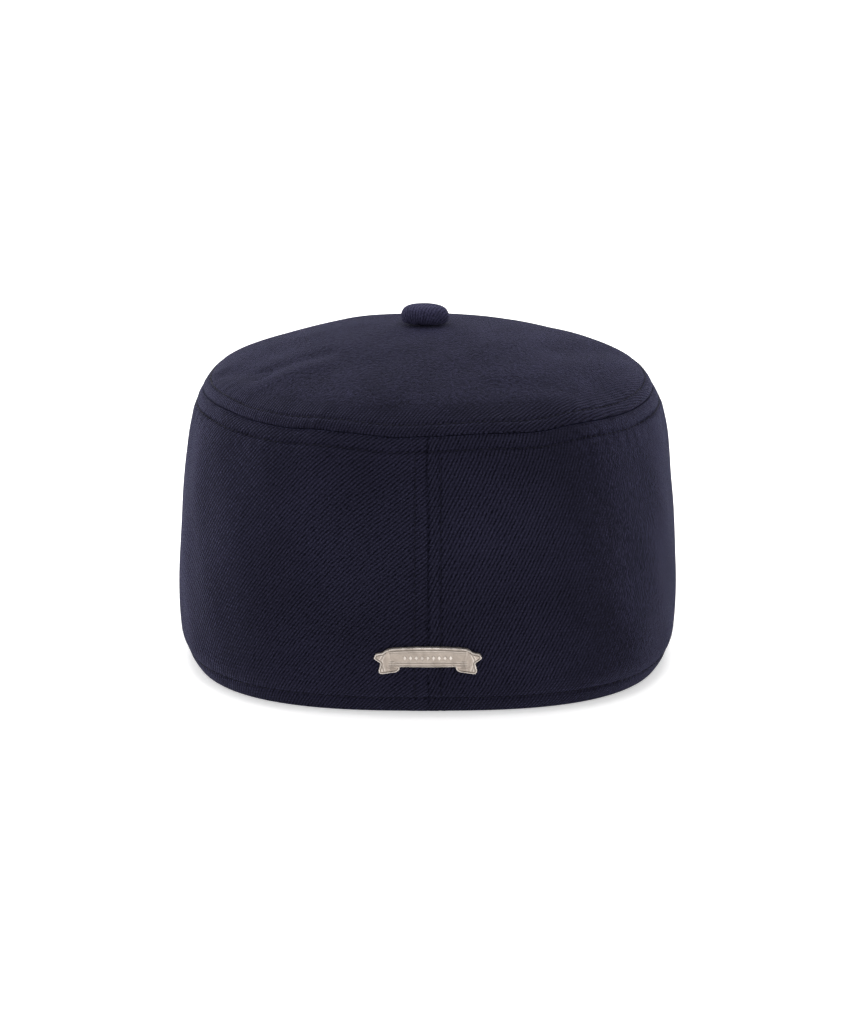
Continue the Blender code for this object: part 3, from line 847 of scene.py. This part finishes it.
# from the top down: shares of the button's radius and height
buttonSection = tableOf("turn radius height", [
    (0.00, 0.000, 1.000),
    (0.10, 0.260, 0.994),
    (0.20, 0.505, 0.965),
    (0.30, 0.730, 0.885),
    (0.40, 0.890, 0.745),
    (0.50, 0.972, 0.550),
    (0.60, 1.000, 0.370),
    (0.70, 0.975, 0.190),
    (0.80, 0.910, 0.070),
    (0.90, 0.720, 0.015),
    (1.00, 0.350, 0.060),
])


# the bun is turned about its axis from the table, with pleats and slow waves; its shank and washer close it below
def buildButton(material):
    turns = np.linspace(0, 2 * np.pi, 120, endpoint=False)
    down = np.linspace(0.02, 1.0, 50)
    radius = smoothTable(buttonSection, "turn", "radius", down) * button["radius"]
    height = button["seat"] + smoothTable(buttonSection, "turn", "height", down) * button["height"]
    r, a = np.meshgrid(radius, turns, indexing="ij")
    z = np.repeat(height[:, None], len(turns), 1)
    low = ease(down, 0.62, 0.9)[:, None]
    pleats = button["pleatDepth"] * low * np.cos(button["pleats"] * a + 0.8 * np.sin(2 * a))
    r = r * (1 + pleats + button["unround"] * np.sin(2 * a + 0.6))
    z = z + button["wave"] * np.sin(3 * a + 0.5) * ease(down, 0.1, 0.6)[:, None]
    z = z - button["tilt"] * np.cos(a - 0.3) * (r / button["radius"]) ** 2 * (1 - low)
    overBun = radius[0] + running(np.hypot(np.diff(radius), np.diff(height)))
    washerTop = cap["apex"] - cap["wall"] - 0.0003
    below = [(button["shankRadius"], button["seat"] + 0.0003), (button["shankRadius"], washerTop),
             (button["washerRadius"], washerTop), (button["washerRadius"], washerTop - button["washerThickness"])]
    rowsR = np.concatenate([r, np.repeat([[radius] for radius, _ in below], len(turns), 1)])
    rowsZ = np.concatenate([z, np.repeat([[level] for _, level in below], len(turns), 1)])
    flat = np.concatenate([overBun, overBun[-1] + 0.001 * np.arange(1, 5)])
    rows = len(rowsR)
    angles = np.repeat(turns[None], rows, 0)
    points = np.stack([crown["shift"] + rowsR * np.cos(angles), rowsR * np.sin(angles), rowsZ], -1).reshape(-1, 3)
    top = [crown["shift"], 0, button["seat"] + button["height"]]
    foot = [crown["shift"], 0, washerTop - button["washerThickness"]]
    points = np.concatenate([points, [top, foot]])
    wide = np.append(turns, 2 * np.pi)
    map2d = np.stack([flat[:, None] * np.cos(wide), flat[:, None] * np.sin(wide)], -1)
    map2d = np.concatenate([map2d, map2d[-1:]]).reshape(-1, 2)
    faces, openFaces = gridFaces(rows, len(turns), False, True)
    around = np.arange(len(turns))
    nextOne = (around + 1) % len(turns)
    topFan = np.stack([np.full_like(around, len(points) - 2), around, nextOne], -1)
    last = (rows - 1) * len(turns)
    footFan = np.stack([last + around, np.full_like(around, len(points) - 1), last + nextOne], -1)
    topMap = np.stack([np.zeros((len(turns), 2)), map2d[around], map2d[around + 1]], 1)
    footMap = np.stack([map2d[(rows - 1) * (len(turns) + 1) + around]] * 3, 1)
    cloth = np.concatenate([map2d[openFaces.ravel()], topMap.reshape(-1, 2), footMap.reshape(-1, 2)])
    nap = np.full(len(points), button["nap"])
    return addPiece("buttonCloth", points, [faces, topFan, footFan], material, "top_button", cloth,
                    None, dict(nap=nap))


badge = dict(
    level=0.02115,  # height of its middle above the rim
    gap=0.0003,
    halfLength=0.0141,  # of the body
    height=0.0074,
    arch=0.00062,
    tailReach=0.0187,
    tailDrop=0.0062,
    cornerRound=0.0010,
    thickness=0.0010,  # of the cast plate at the tails
    bodyRelief=0.00040,  # how far the body stands over its tails
    edgeRound=0.00055,
    beadHeight=0.00010,
    lineDepth=0.00017,
    bend=0.0126,  # where the body folds back, from the middle
    fieldDepth=0.00008,  # of the sunk panel between the borders
    hatch=(-0.0014, -0.0024, -0.0033, -0.0041, -0.0049),  # levels of the engraved lines on both folds
    tailCrease=((0.0150, 0.0009), (0.0160, -0.0010), (0.0157, -0.0028), (0.0150, -0.0050)),
    lozenges=9,
    lozengeSpread=0.0078,  # from the middle to the last
    lozengeHalfWidth=0.00060,
    lozengeHalfHeight=0.00085,
    columns=250,  # of the mesh on each half
    rows=150,
    face=(0.378, 0.322, 0.278, 1),
    # colour on the ridges: a painted highlight
    wearAndPaintedLight=(0.82, 0.76, 0.70, 1),
    # colour in the grooves and the sunk field: grime and painted shade
    recess=(0.105, 0.088, 0.076, 1),
)
# lines along the body's borders: distance in from its top or its foot, and strength
badgeBorders = tableOf("side depth size", [
    ("top", 0.00100, 0.80),
    ("top", 0.00172, 0.35),
    ("foot", 0.00086, 0.75),
    ("foot", 0.00168, 0.60),
])
# right tail, anticlockwise from the body's foot: shares of the reach, of the drop, and of cornerRound
tailCorners = tableOf("across up radius", [
    (0.497, -0.581, 0.30),
    (0.514, -0.755, 0.80),
    (0.572, -0.885, 1.20),
    (0.932, -1.055, 1.30),
    (0.872, -0.385, 0.30),
    (1.004, -0.110, 0.85),
    (0.958, 0.168, 0.95),
    (0.822, 0.262, 0.40),
    (0.782, 0.363, 0.80),
    (0.715, 0.485, 1.20),
])


# a line through corners (across, up, radius) with an arc at each corner
def roundedLine(corners, steps=6):
    line = []
    for i in range(1, len(corners) - 1):
        here = np.array(corners[i][:2])
        before, after = np.array(corners[i - 1][:2]) - here, np.array(corners[i + 1][:2]) - here
        longBefore, longAfter = np.linalg.norm(before), np.linalg.norm(after)
        before, after = before / longBefore, after / longAfter
        half = math.acos(float(before @ after)) / 2
        cut = min(corners[i][2] / math.tan(half), 0.45 * longBefore, 0.45 * longAfter)
        middle = (before + after) / np.linalg.norm(before + after)
        centre = here + middle * cut / math.cos(half)
        start, end = here + before * cut - centre, here + after * cut - centre
        turn = math.atan2(start[0] * end[1] - start[1] * end[0], float(start @ end))
        for angle in np.linspace(0, turn, steps + 1):
            c, s = math.cos(angle), math.sin(angle)
            line.append(centre + np.array([c * start[0] - s * start[1], s * start[0] + c * start[1]]))
    return np.array([corners[0][:2]] + line + [corners[-1][:2]])


# the same number of even steps along a broken line
def resample(line, count):
    steps = running(np.linalg.norm(np.diff(line, axis=0), axis=1))
    at = np.linspace(0, steps[-1], count)
    return np.stack([np.interp(at, steps, line[:, 0]), np.interp(at, steps, line[:, 1])], -1)


# heights, ridges and grooves over the badge's flat back. Lines are bells at set distances from the outline, the
# body's foot and its top; the folds are straight lines across it; lozenges are diamonds in |x| + |y|
def badgeRelief(points, outline):
    x, y = points[:, 0], points[:, 1]
    far = np.abs(x)
    edge = distanceTo(points, outline)
    roll = np.clip(edge / badge["edgeRound"], 0, 1)
    fromFoot = y + badge["height"] / 2
    fromTop = badge["height"] / 2 - badge["arch"] * (x / badge["halfLength"]) ** 2 - y
    bodyEnd = badge["halfLength"] - 0.0004 - far + 0.0003 * np.cos(y / 0.0017)
    inside = ease(bodyEnd, -0.00060, 0.00060) * ease(fromFoot, -0.00015, 0.00015) * ease(fromTop, -0.0004, 0.0)
    within = ease(edge, 0.00030, 0.00060)
    legs = (1 - inside) * within

    ridge = 0.9 * bell(edge, 0.00030, 0.00028)  # the bead round the outline and the line inside it
    groove = 0.85 * bell(edge, 0.00078, 0.00015) * (1 - inside)
    run = ease(badge["halfLength"] - 0.0002 - far, 0.0, 0.0012)
    for border in badgeBorders:
        base = fromTop if border["side"] == "top" else fromFoot
        groove = groove + border["size"] * bell(base, border["depth"], 0.00016) * run
        ridge = ridge + 0.45 * border["size"] * bell(base, border["depth"] + 0.00038, 0.00018) * run
    groove = groove + 0.30 * bell(bodyEnd, -0.00055, 0.00022) * legs  # where the tails go under the body
    bend = badge["bend"] + 0.00030 * np.sin(y / 0.0011)
    groove = groove + 0.22 * bell(far, bend, 0.00018) * ease(fromFoot, 0.0002, 0.0010) * ease(fromTop, 0.0008, 0.0014)
    ridge = ridge + 0.12 * bell(far, bend + 0.00040, 0.00022) * ease(edge, 0.0008, 0.0014)
    for i, lift in enumerate(badge["hatch"]):
        start = 0.0113 - 0.0004 * (i % 2)
        reach = ease(far, start, start + 0.0003) * (1 - ease(far, 0.0128, 0.0133))
        groove = groove + 0.55 * bell(y, lift - 0.04 * (far - 0.012), 0.00015) * reach * within
    crease = distanceTo(np.stack([far, y], -1), np.array(badge["tailCrease"]))
    middle = legs * ease(edge, 0.0008, 0.0012)
    groove = groove + 0.50 * bell(crease, 0.0, 0.00018) * middle
    ridge = ridge + 0.55 * bell(crease, 0.00042, 0.00018) * middle

    half = badge["lozenges"] // 2
    spacing = badge["lozengeSpread"] / half
    nearest = np.clip(np.round(x / spacing), -half, half) * spacing
    lozenge = ease(1.25 - np.abs(x - nearest) / badge["lozengeHalfWidth"]
                   - np.abs(y + 0.0001) / badge["lozengeHalfHeight"], 0.0, 0.5)
    ridge = ridge + 0.55 * lozenge
    field = ease(np.minimum(fromTop - 0.0001, fromFoot), 0.00195, 0.00215) * ease(bend - far, 0.0, 0.0014)
    height = badge["thickness"] * np.sqrt(1 - (1 - roll) ** 2) + badge["bodyRelief"] * inside * roll
    height = height + badge["beadHeight"] * (ridge * np.minimum(roll + 0.2, 1) + lozenge)
    height = height - badge["lineDepth"] * groove * within - badge["fieldDepth"] * field
    # the ridge mark carries a painted highlight into the colour; the groove mark, with the sunk field, carries grime
    # and painted shade
    return height, np.clip(ridge, 0, 1), np.clip(groove + 0.20 * field * (1 - lozenge), 0, 1)


# points of the badge's flat plane laid on the wall: x and level on it, stood out along its normal
def badgePlace(flat, height):
    def wall(x, level):
        halfX, halfY, square = bandSizes(level)
        return np.stack([x, -halfY * (1 - np.abs(x / halfX) ** square) ** (1 / square), level], -1)

    x, level = flat[:, 0], badge["level"] + flat[:, 1]
    return wall(x, level) + normalsOf(wall, x, level, 1e-4, 1e-4) * (badge["gap"] + height)[:, None]


# the right half is a patch between its foot, its top and its notched end; the left half mirrors it. The back is
# one strip of long faces, with a many-sided face at each end
def buildBadge(material):
    reach, drop = badge["tailReach"], badge["tailDrop"]
    tail = [(row["across"] * reach, row["up"] * drop, row["radius"] * badge["cornerRound"]) for row in tailCorners]
    arch = [(s * badge["halfLength"], badge["height"] / 2 - badge["arch"] * s * s, 0.002)
            for s in np.linspace(0.78, 0.0, 6)]
    right = roundedLine([(0, -badge["height"] / 2, 0)] + tail + arch)
    lowTip = int(np.argmin(np.linalg.norm(right - np.array(tail[3][:2]), axis=1)))
    highTip = int(np.argmin(np.linalg.norm(right - np.array(tail[6][:2]), axis=1)))
    columns, rows = badge["columns"], badge["rows"]
    footLine = resample(right[: lowTip + 1], columns)
    topLine = resample(right[highTip:][::-1], columns)
    endLine = resample(right[lowTip: highTip + 1], rows)
    midLine = np.stack([0 * endLine[:, 0], np.linspace(footLine[0, 1], topLine[0, 1], rows)], -1)
    t = np.linspace(0, 1, columns)[:, None, None]
    v = np.linspace(0, 1, rows)[None, :, None]
    patch = (1 - v) * footLine[:, None] + v * topLine[:, None] + (1 - t) * midLine[None] + t * endLine[None]
    patch = patch - ((1 - t) * (1 - v) * footLine[0] + (1 - t) * v * topLine[0]
                     + t * (1 - v) * footLine[-1] + t * v * topLine[-1])
    flat = np.concatenate([patch[:0:-1] * [-1, 1], patch]).reshape(-1, 2)
    outline = np.concatenate([right, right[::-1] * [-1, 1]])
    count = 2 * columns - 1
    height, ridge, groove = badgeRelief(flat, outline)
    index = np.arange(count * rows).reshape(count, rows)
    height[np.concatenate([index[0], index[-1], index[:, 0], index[:, -1]])] = 0
    faces, _ = gridFaces(count, rows, False, False)
    notch = tail[4][0] - 0.0007
    last = columns - 1 + int(np.max(np.nonzero(np.maximum(footLine[:, 0], topLine[:, 0]) < notch)))
    first = count - 1 - last
    foot, top = index[first: last + 1, 0], index[first: last + 1, -1]
    strip = np.stack([foot[:-1], top[:-1], top[1:], foot[1:]], -1)
    leftEnd = np.concatenate([index[first:0:-1, 0], index[0], index[1: first + 1, -1]])
    rightEnd = np.concatenate([index[last:-1, -1], index[-1, ::-1], index[-2: last - 1: -1, 0]])
    return addPiece("badgeCasting", badgePlace(flat, height), [faces, strip, leftEnd[None], rightEnd[None]], material,
                    "ribbon_badge", None, None, dict(ridge=ridge, groove=groove))


# satin pale nickel: its colour follows the piece's own "ridge" and "groove" attributes, with a painted highlight on
# the ridges and grime and painted shade in the grooves
def badgeMaterial(name):
    material, tree, shader = newMaterial(name)
    place = addNode(tree, "TexCoord").outputs["Object"]
    grain = noise(tree, place, 2200.0, 4.0)
    cloud = noise(tree, place, 420.0, 3.0)
    wearAndPaintedLight = addNode(tree, "Attribute", attribute_name="ridge").outputs["Fac"]
    grimeAndPaintedShade = addNode(tree, "Attribute", attribute_name="groove").outputs["Fac"]
    uneven = span(tree, cloud, 0.35, 0.65, 0.55, 1.0)
    # the ridges take the painted highlight, unevenly
    colour = mixColour(tree, times(tree, wearAndPaintedLight, uneven), badge["face"], badge["wearAndPaintedLight"])
    # the grooves darken: grime and painted shade
    colour = mixColour(tree, times(tree, grimeAndPaintedShade, 0.66), colour, badge["recess"])
    colour = shaded(tree, colour, span(tree, cloud, 0.3, 0.7, 0.85, 1.12))
    rough = span(tree, grain, 0.3, 0.7, 0.30, 0.50)
    bump = addNode(tree, "Bump", {"Height": grain, "Strength": 0.4, "Distance": 0.00006})
    feed(shader, {"Base Color": colour, "Roughness": rough, "Normal": bump.outputs[0], "Metallic": 0.9})
    return material


prong = dict(
    width=0.0030,
    thickness=0.0006,
    aside=0.0030,  # from the cloth turned back beside the back seam
    head=0.0002,  # how far it reaches into the badge
    # the folded leg: places along the cloth, and out from its inner face
    leg=((0.0, 0.0003), (0.00012, -0.00012), (0.0005, -0.0003), (0.0042, -0.0003), (0.0045, -0.00025)),
)


# a strap with a rounded section carried along its path, for the two prongs folded inside the band
def buildProngs(material):
    width, thick = prong["width"], prong["thickness"]
    inner = -(2 * badge["gap"] + cap["wall"])
    path = [(0.0, prong["head"])] + [(along, inner + out) for along, out in prong["leg"]]
    corner = np.array([(-1, -0.6), (-0.9, -1), (0.9, -1), (1, -0.6), (1, 0.6), (0.9, 1), (-0.9, 1), (-1, 0.6)])
    for side, word in ((1, "right"), (-1, "left")):
        line = np.array(path) + [cap["allowance"] + prong["aside"] + thick / 2, 0]
        along = unit(np.gradient(line, axis=0))
        across = np.stack([-along[:, 1], along[:, 0]], -1)
        flatX = line[:, None, 0] + across[:, None, 0] * corner[None, :, 1] * thick / 2
        flatW = line[:, None, 1] + across[:, None, 1] * corner[None, :, 1] * thick / 2
        flatV = np.repeat(corner[None, :, 0] * width / 2, len(line), 0)
        flat = np.stack([side * flatX, flatV], -1).reshape(-1, 2)
        points = badgePlace(flat, flatW.ravel())
        faces, _ = gridFaces(len(line), len(corner), False, True)
        end = np.arange(len(corner))
        ends = np.stack([end, (len(line) - 1) * len(corner) + end[::-1]])
        if side > 0:
            faces, ends = faces[:, ::-1], ends[:, ::-1]
        addPiece(f"badgeProng_{word}", points, [faces, ends], material, "ribbon_badge", None, 40)


# the band's napped patches take painted shade
bandTwill = twillMaterial("bandTwill", twill["ribAngle"], napPaintedShade=-0.32)
# the crown's copy is painted a little darker and the button's copy 2.2 times lighter: painted shade and painted light
# on one cloth
crownTwill = twillMaterial("crownTwill", crown["ribAngle"], light=0.96)
buttonTwill = twillMaterial("buttonTwill", button["ribAngle"], light=2.2)
navyThread = threadMaterial("navyThread")
badgeMetal = badgeMaterial("badgeMetal")

buildBand(bandTwill)
buildCrown(crownTwill)
buildStitches(navyThread)
buildButton(buttonTwill)
buildBadge(badgeMetal)
buildProngs(badgeMetal)
print("pieces built")


studio = dict(
    floorHalf=6.0,
    floorShade=0.93,
    floorGlow=0.42,  # light of its own, so it stays as pale as the room
    cameraElevation=12.97,  # degrees above the floor
    cameraDistance=1.400,
    aim=(-0.00047, 0.0, 0.0479),
    lens=134.26,
    frontFill=0.66,  # brightness of the room on the camera's side; the backdrop's is 1
    rightFall=0.60,  # how much sooner the room darkens on the right
)
softboxes = [
    dict(name="overhead", place=(0.0, 0.5, 1.5), size=(1.6, 1.2), power=19.0, aim=(0, 0, 0.06)),
    dict(name="lowFront", place=(0.0, -1.6, 0.16), size=(1.6, 0.25), power=2.0, aim=(0, -0.1, 0)),
    dict(name="leftRear", place=(-1.1, 1.5, 0.7), size=(0.7, 1.2), power=10.0, aim=(0, 0, 0.06)),
    dict(name="rightRear", place=(0.9, 1.7, 0.8), size=(0.6, 1.2), power=5.0, aim=(0, 0, 0.06)),
]


# a pale dull floor that glows a little
def buildStage():
    size = studio["floorHalf"]
    corners = [(-size, -size, 0), (size, -size, 0), (size, size, 0), (-size, size, 0)]
    mesh = bpy.data.meshes.new("floor")
    mesh.from_pydata(corners, [], [(0, 1, 2, 3)])
    material, tree, shader = newMaterial("paleFloor")
    feed(shader, {"Base Color": (*[studio["floorShade"]] * 3, 1), "Roughness": 1.0, "Specular IOR Level": 0.0,
                  "Emission Color": (1, 1, 1, 1), "Emission Strength": studio["floorGlow"]})
    mesh.materials.append(material)
    floor = addObject("floor", mesh)


# a white room, dimmer on the camera's side and on the right: brightness follows y less a share of x
def buildWorld():
    world = bpy.data.worlds.new("studio")
    bpy.context.scene.world = world
    world.use_nodes = True
    tree = world.node_tree
    toward = addNode(tree, "SeparateXYZ", {0: addNode(tree, "TexCoord").outputs["Generated"]})
    toward = times(tree, toward.outputs[0], -studio["rightFall"], toward.outputs[1])
    strength = span(tree, toward, -0.5, 0.5, studio["frontFill"], 1.0)
    feed(tree.nodes["Background"], {"Color": (1, 1, 1, 1), "Strength": strength})


# a rectangular light at a place, turned to face its aim
def addSoftbox(name, place, size, power, aim):
    data = bpy.data.lights.new(name, "AREA")
    data.shape = "RECTANGLE"
    data.size, data.size_y = size
    data.energy = power
    light = addObject(name, data)
    light.location = place
    away = np.array(place) - np.array(aim)
    turn = math.atan2(away[1], away[0])
    tilt = math.acos(away[2] / np.linalg.norm(away))
    light.rotation_euler = (0, tilt, turn)


# the camera, stood back from its aim along the line of its elevation
def buildCamera():
    e = math.radians(studio["cameraElevation"])
    data = bpy.data.cameras.new("camera")
    data.lens = studio["lens"]
    data.sensor_width = 36.0
    data.clip_end = 50
    camera = addObject("camera", data)
    x, y, z = studio["aim"]
    camera.location = (x, y - studio["cameraDistance"] * math.cos(e), z + studio["cameraDistance"] * math.sin(e))
    camera.rotation_euler = (math.pi / 2 - e, 0, 0)
    bpy.context.scene.camera = camera


buildStage()
buildWorld()
for softbox in softboxes:
    addSoftbox(**softbox)
buildCamera()
bpy.context.scene.view_settings.view_transform = "Standard"
print("stage, light and camera set")
